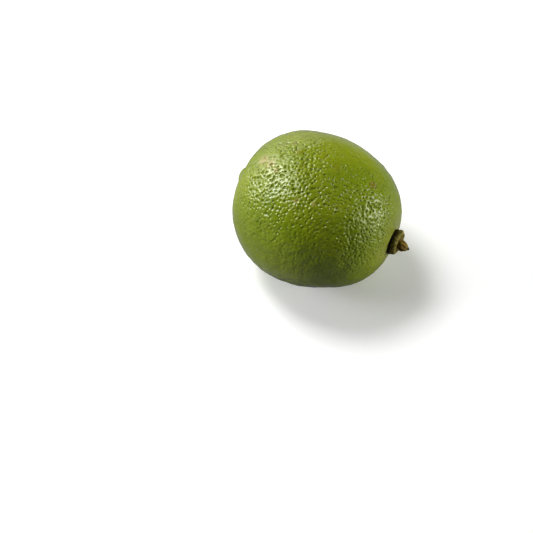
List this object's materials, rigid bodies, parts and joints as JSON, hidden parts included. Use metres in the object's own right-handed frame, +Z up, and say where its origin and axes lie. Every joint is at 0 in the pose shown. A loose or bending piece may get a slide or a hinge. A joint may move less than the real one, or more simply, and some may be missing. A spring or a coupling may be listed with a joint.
{
  "type": "lime",
  "caption": "Whole fresh lime lying on its side, with a low nipple at the blossom end and a dried calyx button with a short stub of stalk at the other.",
  "frame": {"origin": "middle of the flat spot on the underside that the fruit rests on", "axes": "+Z up; +X along the fruit's axis, from the blossom end towards the stalk end"},
  "size_m": [0.0594, 0.049, 0.0483],
  "materials": {
    "peel": "waxy green peel, dimpled all over by oil glands, satin gloss",
    "dried_calyx": "dark olive brown dried sepals, matt and wrinkled",
    "dried_stalk": "golden brown dried stalk, ribbed, with a dark tip"
  },
  "bodies": {
    "root": {"fruit": "peel", "calyx": "dried_calyx", "stalk_stub": "dried_stalk"}
  },
  "joints": []
}
